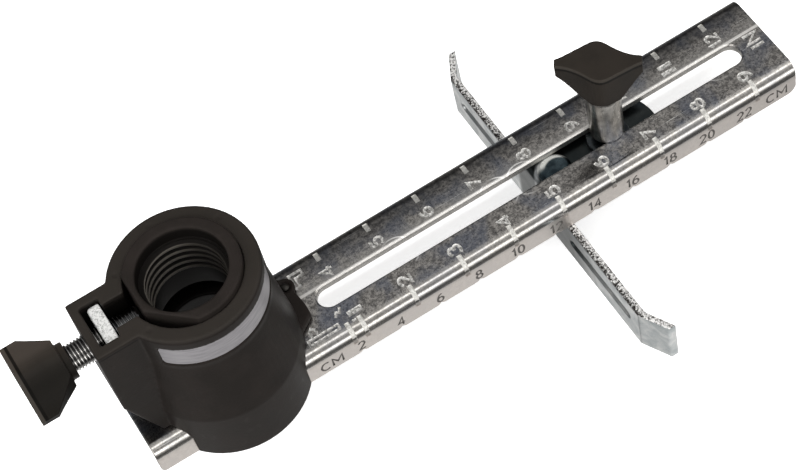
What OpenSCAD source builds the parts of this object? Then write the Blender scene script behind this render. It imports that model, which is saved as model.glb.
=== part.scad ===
// Circle and straight-edge cutting guide for a small high-speed rotary tool.
// The origin is where the tool's axis meets the top face of the beam.
// X runs along the beam towards its scale end, Y across it and Z up.

/* [Beam] */
// Width over the beam's two flanges
beam_w = 24.4; // [24:0.1:26]
// Offset of the beam's middle line from the slot's and the cup's, towards the far edge
beam_offset = 0.95; // [0:0.05:1]
// Height of the beam, from the flange edges to the top face
beam_h = 9; // [8:0.1:12]
// Thickness of the beam's sheet
beam_t = 2; // [1.5:0.1:2.2]
// Outer radius of the beam's two long bends
beam_bend_r = 3; // [2:0.1:3.2]
// Length of the beam behind the tool's axis
beam_back = 22.9; // [20:0.1:30]
// Length of the beam in front of the tool's axis
beam_front = 141.5; // [125:0.1:220]
// Radius of the lower corners at the scale end
beam_corner_r = 3; // [1:0.5:5]
// Radius of the lower corners at the back end
back_corner_r = 1.8; // [0.8:0.1:3]
// Distance from the tool's axis to the near end of the slot
slot_start = 24.1; // [22:0.1:40]
// Distance left between the far end of the slot and the end of the beam
slot_end_margin = 7.2; // [4:0.1:12]
// Width of the slot
slot_w = 5.8; // [5.5:0.1:8]
// Radius of the cutter's hole in the beam
cutter_hole_r = 9.1; // [9:0.1:9.4]

/* [Scales] */
// Spacing of the inch marks, half an inch for each inch of diameter
inch_pitch = 12.7; // [12.7:0.1:12.8]
// Distance from the tool's axis to the first mark on the near edge
near_mark_start = 29.5; // [25:0.1:35]
// Number of marks on each edge
mark_count = 9; // [5:1:9]
// Width of a mark
mark_w = 0.9; // [0.4:0.1:1.5]
// Depth of a mark
mark_depth = 0.15; // [0.1:0.05:0.3]
// Depth under the top face to which the near-edge marks run down over the bend
near_mark_drop = 1.7; // [1:0.1:2]
// Depth under the top face to which the far-edge marks run down over the bend
far_mark_drop = 0.3; // [0.2:0.05:1]
// Length of a near-edge mark across the top face
near_mark_len = 3.3; // [2:0.1:5]
// Length of a far-edge mark across the top face
far_mark_len = 4.1; // [3:0.1:5]

/* [Cup] */
// Radius of the cup's upper part
cup_top_r = 16.2; // [15:0.1:18]
// Radius of the cup's skirt
cup_skirt_r = 18.2; // [18:0.1:22]
// Height of the cup above the beam
cup_h = 36.7; // [34:0.1:50]
// Height of the skirt's upper edge above the beam
skirt_top = 6.4; // [3:0.1:10]
// Depth under the cup's top of the shoulder where the cup starts to widen
shoulder_drop = 10.7; // [9.7:0.1:14]
// Radius of the bore that guides the collar
guide_bore_r = 12.6; // [12.3:0.1:13.2]
// Height of the ledge under the collar's bore
ledge_z = 13; // [8:0.1:14]
// Radius of the cutter's opening in the cup
cutter_open_r = 8.8; // [8:0.1:8.9]
// Wall of the skirt beside the beam and round its outside
skirt_wall = 2; // [1.5:0.1:3]
// Small bevel on the cup's edges
cup_bevel = 0.5; // [0.2:0.1:1]

/* [Label] */
// Depth of the label recess's lower edge under the cup's top
label_drop = 9.1; // [7:0.1:9.5]
// Height of the label strip
label_h = 6; // [3:0.1:6.5]
// Depth of the label's recess
label_recess = 0.4; // [0.2:0.1:0.8]
// Thickness of the label strip
label_t = 0.2; // [0.1:0.05:0.2]
// Angle that the label covers
label_span_angle = 120; // [60:1:130]
// Angle of the label's middle, measured from the X axis
label_mid_angle = -80; // [-90:1:-70]

/* [Clamp block] */
// Distance from the tool's axis to the block's outer face
block_reach = 23.6; // [22.8:0.1:30]
// Width of the block
block_w = 15.1; // [14:0.1:20]
// Height of the block's outer face
block_face_h = 21.7; // [16:0.1:26]
// Thickness of the block's outer wall
block_wall = 2; // [1.5:0.1:3]
// Length of the nut's pocket along the beam
pocket_len = 4.4; // [3.6:0.1:6]
// Width of the channel from the pocket to the bore
channel_w = 6.6; // [6.5:0.1:8]
// Depth of that channel under the screw's axis
channel_drop = 3.9; // [3.5:0.1:6]

/* [Lugs] */
// Reach of the two lugs beyond the skirt
lug_reach = 3.1; // [2.6:0.1:3.8]
// Thickness of the lugs
lug_h = 1.8; // [1:0.1:3]
// Reach of the lugs towards the far edge
lug_far = 10; // [9:0.1:10.5]
// Reach of the lugs' outer corner towards the near edge
lug_near = 2.4; // [0:0.1:3]
// Reach of the lugs' root towards the near edge
lug_root = 5; // [2:0.1:6]
// Distance of the rivets beyond the skirt, along the beam
rivet_reach = 1.5; // [0.8:0.1:1.8]
// Distance of the rivets from the beam's middle line
rivet_y = 6.6; // [5.5:0.1:7]
// Radius of a rivet's shank
rivet_r = 0.7; // [0.5:0.05:0.8]
// Radius of a rivet's round head
rivet_head_r = 1.05; // [0.9:0.05:1.2]
// Height of a rivet's round head
rivet_head_h = 0.8; // [0.5:0.1:1]
// Radius of the well round a rivet's head
well_r = 1.55; // [1.4:0.05:1.8]
// Depth of that well
well_depth = 0.6; // [0.3:0.1:1]
// Radius of a lug's round ear
ear_r = 2.2; // [2:0.1:2.6]

/* [Collar] */
// Radius of the collar
collar_r = 12.5; // [12.2:0.1:13.1]
// Height of the collar's top above the cup's top
collar_proud = 1.6; // [0.5:0.1:3]
// Length of the collar
collar_len = 21.3; // [17:0.1:22]
// Radius of the counterbore at the collar's top
collar_counter_r = 9.7; // [9.6:0.05:10]
// Depth of the counterbore
collar_counter_depth = 3.6; // [2:0.1:5]
// Minor radius of the tool's nose thread
nose_minor_r = 8.5; // [8:0.05:8.7]
// Depth of the thread
nose_thread_depth = 0.9; // [0.5:0.1:1]
// Pitch of the thread, twelve to the inch
nose_pitch = 2.1167; // [1.5:0.0001:2.5]
// Number of thread ridges
nose_ridges = 5; // [3:1:5]
// Distance of the clamp's flat from the tool's axis
clamp_flat = 11; // [10.9:0.1:11.5]
// Distance of the second flat from the tool's axis
side_flat = 10.6; // [10.5:0.1:11.5]
// Angle of the second flat
side_flat_angle = 226; // [220:1:235]

/* [Clamp screw] */
// Depth of the screw's axis under the cup's top
screw_drop = 6.3; // [5.7:0.1:8.7]
// Radius of the screw
screw_r = 3.1; // [2.9:0.05:3.1]
// Pitch of the screw's thread
screw_pitch = 0.75; // [0.6:0.05:1.25]
// Depth of the screw's thread
screw_thread_depth = 0.35; // [0.2:0.05:0.5]
// Length of bare screw between the block and the knob
screw_bare = 4.3; // [4:0.1:12]
// Side of the square nut
nut_side = 10; // [9:0.1:10.2]
// Thickness of the square nut
nut_t = 2.8; // [2:0.1:3]

/* [Wing knobs] */
// Distance from tip to tip of a wing knob
wing_span = 18.7; // [16:0.1:24]
// Width of a wing knob across its middle
wing_w = 10.4; // [9.5:0.1:14]
// Thickness of the wing's tips
wing_tip_t = 1.4; // [0.8:0.1:2.5]
// Height of the wing's straight sides
wing_side_h = 3.8; // [2:0.1:5]
// Height of the tapering part
wing_taper_h = 6; // [4:0.1:9]
// Radius of the hub
hub_r = 4.1; // [4:0.1:4.8]
// Height of the hub's straight collar
hub_h = 1.5; // [1:0.1:3]
// Angle of the top knob's wing from the X axis
lock_wing_angle = -33; // [-90:1:90]
// Angle of the clamp knob's wing above the Y axis
clamp_wing_angle = 8; // [-90:0.5:90]

/* [Carriage] */
// Distance from the tool's axis to the post
post_x = 98.8; // [60:0.1:110]
// Distance from the post's axis to the fence's face
fence_offset = 18.6; // [17.5:0.1:22]
// Distance from the post's axis to the pivot pin's axis
pivot_offset = 14.2; // [13.9:0.1:14.3]
// Thickness of the fence's sheet
fence_t = 1.8; // [1.5:0.1:2]
// Height of the fence under the beam
fence_h = 12.4; // [10:0.1:20]
// Overall length of the fence
fence_len = 90.5; // [70:0.5:140]
// Length of each flared end, measured across the beam
flare_len = 6.7; // [4:0.1:10]
// Distance that each end flares away from the work
flare_out = 3.5; // [1:0.1:5]
// Width of the plate and of the tab inside the beam
plate_w = 18; // [14:0.1:18.4]
// Radius of the plate's rounded end
plate_end_r = 12; // [9.5:0.1:12.5]
// Inner radius of the bend between tab and plate
tab_bend_r = 0.9; // [0.5:0.1:1]
// Start of each pressed bead, measured from the middle
bead_start = 12.5; // [11:0.1:16]
// Clear length between each bead and the bend of the flared end
bead_margin = 4.8; // [3:0.1:10]
// Width of the beads
bead_w = 2.8; // [1.5:0.1:4]
// Depth of the beads
bead_depth = 0.7; // [0.3:0.1:1]
// Height of the beads' middle above the fence's lower edge
bead_rise = 6.7; // [4:0.1:8]

/* [Post and pin] */
// Height of the post above the beam
post_h = 14.6; // [10:0.1:20]
// Radius of the post at its top
post_top_r = 4; // [3.8:0.05:4]
// Radius of the post at its foot
post_foot_r = 3.78; // [3.5:0.01:3.8]
// Radius of the post's stem inside the knob
stem_r = 3.2; // [3:0.1:3.4]
// Length of the post's stem inside the knob
stem_h = 7; // [4:0.1:8]
// Radius of the guide stud
stud_r = 2.45; // [2:0.05:2.6]
// Pitch of the guide stud's thread
stud_pitch = 0.8; // [0.5:0.1:1]
// Radius of the guide stud's head
stud_head_r = 4.5; // [3.5:0.1:5]
// Thickness of the guide stud's head
stud_head_h = 1.6; // [1:0.1:2]
// Radius of the washer between the plate and the beam
washer_r = 5; // [4:0.1:6]
// Thickness of that washer
washer_t = 1.6; // [1.2:0.1:2]
// Radius of the pivot pin, an eighth of an inch across
pin_r = 1.5875; // [1.2:0.0001:1.6]
// Radius of the pivot pin's tail, which is riveted through the plate
pin_tail_r = 1.2; // [0.8:0.1:1.2]
// Radius of the pivot pin's riveted head
pin_head_r = 4; // [2.5:0.1:4.2]
// Gap between the pivot pin's head and the beam
pin_head_gap = 0.2; // [0.1:0.05:0.5]
// Height of the pivot pin's tip above the fence's lower edge
pin_lift = 3; // [1:0.1:6]

/* [Hidden] */

// Clearance of a shaft in its hole, and gap between faces that slide on each other
fit_gap = 0.05;
// Length by which a cutting shape runs past what it cuts
overrun = 1;
// Facets of the round shapes
$fn = 96;

// Beam
beam_len = beam_back + beam_front;
inner_bend_r = beam_bend_r - beam_t;
slot_end = beam_front - slot_end_margin;
web_under = -beam_t;
flange_edge = -beam_h;
far_mark_start = near_mark_start;

// Cup and block
shoulder_z = cup_h - shoulder_drop;
label_low = cup_h - label_drop;
label_floor_r = cup_top_r - label_recess;
lug_r = cup_skirt_r + lug_reach;
rivet_x = cup_skirt_r + rivet_reach;
well_z = lug_h - well_depth;
screw_z = cup_h - screw_drop;
pocket_out = block_reach - block_wall;
pocket_in = pocket_out - pocket_len;
pocket_clear = 0.3;
nut_in = pocket_in + pocket_clear;
pocket_w = nut_side + 2 * pocket_clear;
nut_low = screw_z - nut_side / 2;

// Clamp screw and its knob
screw_tip = clamp_flat + fit_gap;
clamp_knob_in = block_reach + screw_bare;
wing_h = wing_side_h + wing_taper_h + hub_h;
screw_socket_share = 0.72;
screw_tip_share = 0.33;
screw_end = clamp_knob_in + wing_h * screw_socket_share;

// Outline of a wing, by shares of its half length: how far its sides are drawn in and rounded
wing_draw_power = 1.75;
wing_round_share = 0.09;
wing_round_count = 5;
wing_steps = 28;
wing_run_past_share = 1.1;
hub_step = 0.15;
wing_foot = hub_r + hub_step;

// Collar
clamp_flat_angle = 180;
collar_top = cup_h + collar_proud;
collar_low = collar_top - collar_len;
collar_lip_bevel = 0.5;
counter_floor = collar_top - collar_counter_depth;
nose_lead = 0.9;
thread_top = counter_floor - nose_lead;
ridge_flat_share = 0.25;
groove_flat_share = 0.2;
relief_r = nose_minor_r + nose_thread_depth;
thread_low = thread_top - nose_pitch * (nose_ridges - 1 + ridge_flat_share);
relief_step = nose_thread_depth;

// Carriage
fence_face = post_x - fence_offset;
fence_back = fence_face + fence_t;
fence_top = flange_edge - fit_gap;
fence_low = fence_top - fence_h;
plate_top = web_under - fit_gap - washer_t;
plate_low = plate_top - fence_t;
fence_half = fence_len / 2;
flare_start = fence_half - flare_len;
bead_end = flare_start - bead_margin;
bead_z = fence_low + bead_rise;
bead_r = (pow(bead_w / 2, 2) + pow(bead_depth, 2)) / (2 * bead_depth);
pin_x = post_x - pivot_offset;
pin_top = web_under - pin_head_gap;
pin_tip = fence_low + pin_lift;
pin_point_h = pin_r;
pin_point_share = 0.35;
knob_low = post_h;
stud_in_stem_share = 0.5;
stud_top = post_h + stem_h * stud_in_stem_share;
stud_low = plate_low - stud_head_h;

// Outline of a rounded-top section, w wide and h high, standing on the line v = 0
module rounded_section(w, h, r) {
    translate([-w / 2, 0]) square([w, h - r]);
    translate([r - w / 2, 0]) square([w - 2 * r, h]);
    for (side = [-1, 1]) translate([side * (w / 2 - r), h - r]) circle(r);
}

// A section given across the beam from its middle line, run along X from start to end
module along_x(start, end) {
    translate([start, beam_offset, 0]) rotate([90, 0, 90]) linear_extrude(end - start) children();
}

// A solid of revolution about an axis that runs towards -X from the point at x
module towards_back(x, z) {
    translate([x, 0, z]) rotate([0, -90, 0]) children();
}

// Round slot through the web, from x = start to x = end
module slot_cut(start, end, w, low, high) {
    translate([0, 0, low]) linear_extrude(high - low) {
        translate([start + w / 2, -w / 2]) square([end - start - w, w]);
        for (x = [start + w / 2, end - w / 2]) translate([x, 0]) circle(w / 2);
    }
}

// Pieces of the frame

module beam_outline() {
    // side view with the lower corners of both ends rounded
    translate([0, beam_offset, 0]) rotate([90, 0, 0]) linear_extrude(beam_w + 2 * overrun, center = true) {
        translate([-beam_back, flange_edge + back_corner_r]) square([beam_back, beam_h - back_corner_r]);
        translate([0, flange_edge + beam_corner_r]) square([beam_front, beam_h - beam_corner_r]);
        translate([back_corner_r - beam_back, flange_edge])
            square([beam_len - back_corner_r - beam_corner_r, beam_h]);
        translate([back_corner_r - beam_back, flange_edge + back_corner_r]) circle(back_corner_r);
        translate([beam_front - beam_corner_r, flange_edge + beam_corner_r]) circle(beam_corner_r);
    }
}

module edge_marks(start, len, drop, side) {
    // shallow marks that follow the top face and the bend
    middle = beam_offset + side * (beam_w - len) / 2;
    difference() {
        for (i = [0:mark_count - 1])
            translate([start + i * inch_pitch - mark_w / 2, middle - len / 2, -drop])
                cube([mark_w, len, drop + overrun]);
        along_x(-beam_back, beam_front) translate([0, flange_edge])
            rounded_section(beam_w - 2 * mark_depth, beam_h - mark_depth, beam_bend_r - mark_depth);
    }
}

module beam() color("silver") difference() {
    intersection() {
        along_x(-beam_back, beam_front) translate([0, flange_edge]) rounded_section(beam_w, beam_h, beam_bend_r);
        beam_outline();
    }
    along_x(-beam_back - overrun, beam_front + overrun) translate([0, flange_edge - overrun])
        rounded_section(beam_w - 2 * beam_t, beam_h - beam_t + overrun, inner_bend_r);
    slot_cut(slot_start, slot_end, slot_w, web_under - overrun, overrun);
    translate([0, 0, web_under - overrun]) cylinder(h = beam_t + 2 * overrun, r = cutter_hole_r);
    rivet_places() translate([0, 0, web_under - overrun])
        cylinder(h = beam_t + 2 * overrun, r = rivet_r + fit_gap);
    edge_marks(near_mark_start, near_mark_len, near_mark_drop, -1);
    edge_marks(far_mark_start, far_mark_len, far_mark_drop, 1);
}

module rivet_places() {
    for (side = [-1, 1]) translate([side * rivet_x, rivet_y, 0]) children();
}

module rivet() {
    head_ball_r = (pow(rivet_head_r, 2) + pow(rivet_head_h, 2)) / (2 * rivet_head_h);
    tail_h = rivet_head_h / 2;
    translate([0, 0, web_under - tail_h]) cylinder(h = tail_h, r = rivet_head_r);
    translate([0, 0, web_under]) cylinder(h = beam_t + well_z, r = rivet_r);
    translate([0, 0, well_z]) intersection() {
        translate([0, 0, rivet_head_h - head_ball_r]) sphere(head_ball_r);
        cylinder(h = rivet_head_h, r = rivet_head_r);
    }
}

module beam_rivets() color("gainsboro") rivet_places() rivet();

// Pieces of the cup

module cup_body() {
    rotate_extrude() polygon([
        [0, flange_edge],
        [cup_skirt_r - cup_bevel, flange_edge],
        [cup_skirt_r, flange_edge + cup_bevel],
        [cup_skirt_r, skirt_top],
        [cup_top_r, shoulder_z],
        [cup_top_r, cup_h - cup_bevel],
        [cup_top_r - cup_bevel, cup_h],
        [0, cup_h]]);
}

module clamp_block() {
    // side view of the block, its underside sloping in to the foot of the cup
    rotate([90, 0, 0]) linear_extrude(block_w, center = true) polygon([
        [-block_reach, cup_h],
        [-block_reach, cup_h - block_face_h],
        [-cup_skirt_r, 0],
        [-guide_bore_r, 0],
        [-guide_bore_r, cup_h]]);
}

module foot_lugs() {
    for (turn = [0, 1]) mirror([turn, 0, 0]) linear_extrude(lug_h) intersection() {
        circle(lug_r);
        polygon([
            [cup_top_r / 2, lug_far],
            [lug_r, lug_far],
            [lug_r, -lug_near],
            [cup_skirt_r * cos(asin(lug_root / cup_skirt_r)), -lug_root],
            [cup_top_r / 2, -lug_root]]);
    }
    rivet_places() cylinder(h = lug_h, r = ear_r);
}

module skirt_pockets() {
    // the two hollow segments of the skirt beside the beam, open underneath
    beside_beam = beam_w / 2 + fit_gap + skirt_wall;
    for (side = [-1, 1]) intersection() {
        translate([0, 0, flange_edge - overrun])
            cylinder(h = skirt_top - flange_edge - skirt_wall + overrun, r = cup_skirt_r - skirt_wall);
        translate([-cup_skirt_r, beam_offset + (side > 0 ? beside_beam : -beside_beam - cup_skirt_r),
            flange_edge - overrun])
            cube([2 * cup_skirt_r, cup_skirt_r, skirt_top - flange_edge + overrun]);
    }
}

module label_ring(inner, outer, low, high, grow) {
    rotate([0, 0, label_mid_angle - label_span_angle / 2 - grow])
        rotate_extrude(angle = label_span_angle + 2 * grow)
        translate([inner, low]) square([outer - inner, high - low]);
}

module label_strip() color("gainsboro")
    label_ring(label_floor_r, label_floor_r + label_t, label_low + fit_gap, label_low + label_h - fit_gap, 0);

module housing() color("dimgray") difference() {
    union() {
        cup_body();
        clamp_block();
        foot_lugs();
    }
    // tunnel over the beam
    along_x(-block_reach - overrun, block_reach + overrun) translate([0, flange_edge - overrun])
        rounded_section(beam_w + 2 * fit_gap, beam_h + overrun, beam_bend_r);
    skirt_pockets();
    // bore for the collar and opening for the cutter
    translate([0, 0, ledge_z]) cylinder(h = cup_h - ledge_z + overrun, r = guide_bore_r);
    translate([0, 0, -overrun]) cylinder(h = ledge_z + 2 * overrun, r = cutter_open_r);
    // pocket for the nut, channel to the bore and hole for the screw
    translate([-pocket_out, -pocket_w / 2, nut_low]) cube([pocket_len, pocket_w, cup_h - nut_low + overrun]);
    translate([-pocket_out, -channel_w / 2, screw_z - channel_drop])
        cube([pocket_out, channel_w, cup_h - screw_z + channel_drop + overrun]);
    towards_back(-pocket_in, screw_z) cylinder(h = block_wall + pocket_len + overrun, r = channel_w / 2);
    // recess for the label, holes for the rivets and wells for their heads
    label_ring(label_floor_r, cup_top_r + overrun, label_low, label_low + label_h, fit_gap);
    rivet_places() {
        translate([0, 0, -overrun]) cylinder(h = lug_h + 2 * overrun, r = rivet_r + fit_gap);
        translate([0, 0, well_z]) cylinder(h = well_depth + rivet_head_h, r = well_r);
    }
}

// Half the profile of a thread's ridges, as points from the lowest ridge to the highest.
// Each ridge is a flat land at the crest radius between two sloping flanks.
function ridge_points(crest, root, low, pitch, count) = [
    for (i = [0:count - 1]) let (z = low + i * pitch) each [
        [crest, z],
        [crest, z + pitch * ridge_flat_share],
        if (i < count - 1) [root, z + pitch * (1 + ridge_flat_share - groove_flat_share) / 2],
        if (i < count - 1) [root, z + pitch * (1 + ridge_flat_share + groove_flat_share) / 2]]];

module collar() color([0.2, 0.19, 0.18]) difference() {
    rotate_extrude() polygon(concat(
        [[collar_r, collar_low],
         [relief_r, collar_low],
         [relief_r, thread_low - relief_step]],
        ridge_points(nose_minor_r, relief_r, thread_low, nose_pitch, nose_ridges),
        [[collar_counter_r, counter_floor],
         [collar_counter_r, collar_top - collar_lip_bevel],
         [collar_counter_r + collar_lip_bevel, collar_top],
         [collar_r - collar_lip_bevel, collar_top],
         [collar_r, collar_top - collar_lip_bevel]]));
    for (flat = [[clamp_flat, clamp_flat_angle], [side_flat, side_flat_angle]])
        rotate([0, 0, flat[1]]) translate([flat[0], -collar_r, collar_low - overrun])
            cube([collar_r, 2 * collar_r, collar_len + 2 * overrun]);
}

// Pieces of the clamp

module clamp_nut() color("silver") difference() {
    translate([-nut_in - nut_t, -nut_side / 2, nut_low]) cube([nut_t, nut_side, nut_side]);
    towards_back(-nut_in + overrun, screw_z) cylinder(h = nut_t + 2 * overrun, r = screw_r + fit_gap);
}

module clamp_stud() color("silver") {
    screw_len = screw_end - screw_tip;
    tip_bevel = screw_r * screw_tip_share;
    ridges = floor((clamp_knob_in - screw_tip - tip_bevel) / screw_pitch);
    towards_back(-screw_tip, screw_z) rotate_extrude() polygon(concat(
        [[0, 0], [screw_r - tip_bevel, 0]],
        ridge_points(screw_r, screw_r - screw_thread_depth, tip_bevel, screw_pitch, ridges),
        [[screw_r, screw_len], [0, screw_len]]));
}

// Half the wing's width at the share s of its half length, straight on one side, drawn in on the other
function wing_raw(s) = s < 0 ? 1 + s : pow(1 - s, wing_draw_power);
function wing_soft(s, k = 0) = k < wing_round_count ? wing_soft(s, k + 1)
    + wing_raw(max(-1, min(1, s + (k - (wing_round_count - 1) / 2) * wing_round_share))) : 0;
function wing_half(s) = wing_tip_t / 2 + (wing_w - wing_tip_t) / 2 * wing_soft(s) / wing_soft(0);

// The wing's outline, the same when it is turned by half a turn
wing_outline = [for (turn = [1, -1], i = [0:wing_steps]) let (s = 1 - 2 * i / wing_steps)
    turn * [s * wing_span / 2, wing_half(s)]];

module wing_solid() {
    far = wing_foot + (wing_span / 2 - wing_foot) * wing_run_past_share;
    cylinder(h = hub_h + hub_step, r = hub_r);
    intersection() {
        translate([0, 0, hub_h - overrun]) linear_extrude(wing_h - hub_h + 2 * overrun) polygon(wing_outline);
        // side view, its underside sloping from the hub out to the tips
        rotate([90, 0, 0]) linear_extrude(2 * wing_w, center = true) polygon([
            [-wing_foot, hub_h],
            [wing_foot, hub_h],
            [far, hub_h + wing_taper_h * wing_run_past_share],
            [far, wing_h],
            [-far, wing_h],
            [-far, hub_h + wing_taper_h * wing_run_past_share]]);
    }
}

module clamp_knob() color([0.2, 0.19, 0.18]) difference() {
    towards_back(-clamp_knob_in, screw_z) rotate([0, 0, 90 - clamp_wing_angle]) wing_solid();
    towards_back(-clamp_knob_in + overrun, screw_z)
        cylinder(h = screw_end - clamp_knob_in + overrun + fit_gap, r = screw_r + fit_gap);
}

// Pieces of the carriage

module fence_outline() {
    // plan of the fence, with its two ends flared away from the work
    for (side = [-1, 1]) polygon([
        [fence_face, 0],
        [fence_back, 0],
        [fence_back, side * flare_start],
        [fence_back + flare_out, side * fence_half],
        [fence_face + flare_out, side * fence_half],
        [fence_face, side * flare_start]]);
}

module bead(x, grow) {
    for (side = [-1, 1]) {
        translate([x, side * bead_start, bead_z]) rotate([-90 * side, 0, 0])
            cylinder(h = bead_end - bead_start, r = bead_r + grow);
        for (y = [bead_start, bead_end]) translate([x, side * y, bead_z]) sphere(bead_r + grow);
    }
}

module tab_section() {
    // side view of the tab and the plate that it bends into
    outer_r = tab_bend_r + fence_t;
    difference() {
        union() {
            translate([fence_face, fence_top - fence_t]) square([fence_t, plate_top - outer_r - fence_top + fence_t]);
            translate([fence_face + outer_r, plate_top - outer_r]) circle(outer_r);
            translate([fence_face + outer_r, plate_low]) square([plate_end_r + fence_offset, fence_t]);
        }
        translate([fence_face + outer_r, plate_top - outer_r]) circle(tab_bend_r);
        translate([fence_face + outer_r, fence_top - fence_t]) square([outer_r, plate_low - fence_top + fence_t]);
        translate([fence_back, fence_top - fence_t]) square([outer_r, plate_top - outer_r - fence_top + fence_t]);
    }
}

module fence_guide() color("silver") difference() {
    union() {
        difference() {
            translate([0, 0, fence_low]) linear_extrude(fence_h) fence_outline();
            bead(fence_face - bead_r + bead_depth, 0);
        }
        intersection() {
            bead(fence_back - bead_r + bead_depth, 0);
            translate([fence_back - fence_t / 2, -fence_half, fence_low]) cube([fence_t, fence_len, fence_h]);
        }
        intersection() {
            rotate([90, 0, 0]) linear_extrude(plate_w, center = true) tab_section();
            translate([0, 0, fence_low]) linear_extrude(-fence_low) union() {
                translate([fence_face, -plate_w / 2]) square([fence_offset, plate_w]);
                translate([post_x, 0]) circle(plate_end_r);
            }
        }
    }
    for (hole = [[post_x, stud_r], [pin_x, pin_tail_r]]) translate([hole[0], 0, plate_low - overrun])
        cylinder(h = fence_t + 2 * overrun, r = hole[1] + fit_gap);
}

module slide_washer() color("silver") translate([post_x, 0, plate_top]) difference() {
    cylinder(h = washer_t, r = washer_r);
    translate([0, 0, -overrun]) cylinder(h = washer_t + 2 * overrun, r = stud_r + fit_gap);
}

module guide_stud() color("silver") translate([post_x, 0, 0]) {
    ridges = floor((stud_top - stud_pitch) / stud_pitch);
    rotate_extrude() polygon(concat(
        [[0, stud_low], [stud_head_r, stud_low], [stud_head_r, plate_low], [stud_r, plate_low]],
        ridge_points(stud_r, stud_r - screw_thread_depth, 0, stud_pitch, ridges),
        [[stud_r, stud_top], [0, stud_top]]));
}

module pivot_pin() color("silver") translate([pin_x, 0, 0]) rotate_extrude() polygon([
    [0, pin_tip],
    [pin_r * pin_point_share, pin_tip],
    [pin_r, pin_tip + pin_point_h],
    [pin_r, plate_low],
    [pin_tail_r, plate_low],
    [pin_tail_r, plate_top],
    [pin_head_r, plate_top],
    [pin_head_r, pin_top],
    [0, pin_top]]);

module lock_post() color("gray") translate([post_x, 0, 0]) difference() {
    union() {
        cylinder(h = post_h, r1 = post_foot_r, r2 = post_top_r);
        translate([0, 0, post_h]) cylinder(h = stem_h, r = stem_r);
    }
    translate([0, 0, -overrun]) cylinder(h = post_h + stem_h + 2 * overrun, r = stud_r + fit_gap);
}

module lock_knob() color([0.2, 0.19, 0.18]) translate([post_x, 0, knob_low + fit_gap]) difference() {
    rotate([0, 0, lock_wing_angle]) wing_solid();
    translate([0, 0, -overrun]) cylinder(h = stem_h + overrun + fit_gap, r = stem_r + fit_gap);
}

housing();
label_strip();
beam();
beam_rivets();
collar();
clamp_nut();
clamp_stud();
clamp_knob();
fence_guide();
slide_washer();
guide_stud();
pivot_pin();
lock_post();
lock_knob();
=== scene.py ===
"""Looks of a circle and straight-edge cutting guide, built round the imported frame.

Sizes are in millimetres in the row frame: X along the beam, Y across it, Z up, from the point
where the tool's axis meets the beam's top face. They become metres where a mesh is made.
"""

import math

import bmesh
import bpy
from mathutils import Euler, Matrix, Vector, noise


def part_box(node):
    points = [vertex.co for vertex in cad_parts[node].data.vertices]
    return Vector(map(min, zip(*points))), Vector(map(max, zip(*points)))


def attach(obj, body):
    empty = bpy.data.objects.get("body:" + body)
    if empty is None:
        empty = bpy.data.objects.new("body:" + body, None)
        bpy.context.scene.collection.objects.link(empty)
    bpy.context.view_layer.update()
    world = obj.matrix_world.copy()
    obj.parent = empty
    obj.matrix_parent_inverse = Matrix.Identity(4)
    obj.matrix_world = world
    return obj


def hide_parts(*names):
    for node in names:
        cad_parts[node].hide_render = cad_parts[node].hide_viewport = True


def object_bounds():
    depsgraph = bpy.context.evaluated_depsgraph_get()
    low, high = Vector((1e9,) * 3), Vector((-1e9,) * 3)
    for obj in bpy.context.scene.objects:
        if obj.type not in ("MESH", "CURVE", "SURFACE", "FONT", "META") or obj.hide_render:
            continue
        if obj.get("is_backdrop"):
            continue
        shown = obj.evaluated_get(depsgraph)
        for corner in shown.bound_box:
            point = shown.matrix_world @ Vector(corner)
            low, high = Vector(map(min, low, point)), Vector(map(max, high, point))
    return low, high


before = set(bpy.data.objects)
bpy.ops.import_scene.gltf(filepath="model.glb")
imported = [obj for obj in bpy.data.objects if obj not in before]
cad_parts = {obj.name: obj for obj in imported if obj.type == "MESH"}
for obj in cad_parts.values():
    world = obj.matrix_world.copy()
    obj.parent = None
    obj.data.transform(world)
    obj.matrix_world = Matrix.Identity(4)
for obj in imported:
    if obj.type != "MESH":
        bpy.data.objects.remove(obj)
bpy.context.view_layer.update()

MM = 0.001
TURN = 2 * math.pi


def node_box(node):
    """Lowest and highest corner of a CAD node, in millimetres."""
    low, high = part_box(node)
    return low / MM, high / MM


# Sizes read from the frame
beam_low, beam_high = node_box("beam")
cup_top = node_box("housing")[1].z
collar_low, collar_high = node_box("collar")
stud_low, stud_high = node_box("clamp_stud")
nut_low, nut_high = node_box("clamp_nut")
post_low, post_high = node_box("lock_post")
fence_low = node_box("fence_guide")[0]
label_low, label_high = node_box("label_strip")
rivet_low, rivet_high = node_box("beam_rivets")
washer_low, washer_high = node_box("slide_washer")
guide_low, guide_high = node_box("guide_stud")
pin_low, pin_high = node_box("pivot_pin")
lock_knob_top = node_box("lock_knob")[1].z
clamp_knob_end = node_box("clamp_knob")[0].x

beam_near, beam_far = beam_low.y, beam_high.y
post_x = (post_low.x + post_high.x) / 2
pin_x = (pin_low.x + pin_high.x) / 2
screw_z = (nut_low.z + nut_high.z) / 2

# Sizes that the part's source gives and a box doesn't
screw_radius, screw_pitch = 3.1, 0.75
sheet = 2.0
bend = 3.0
well_floor = 1.2


# Meshes

def piece(name, points, faces):
    """A mesh object from points in millimetres, its faces turned outwards."""
    mesh = bpy.data.meshes.new(name)
    mesh.from_pydata([Vector(p) * MM for p in points], [], faces)
    shell = bmesh.new()
    shell.from_mesh(mesh)
    bmesh.ops.recalc_face_normals(shell, faces=shell.faces)
    shell.to_mesh(mesh)
    shell.free()
    obj = bpy.data.objects.new(name, mesh)
    bpy.context.scene.collection.objects.link(obj)
    return obj


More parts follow.
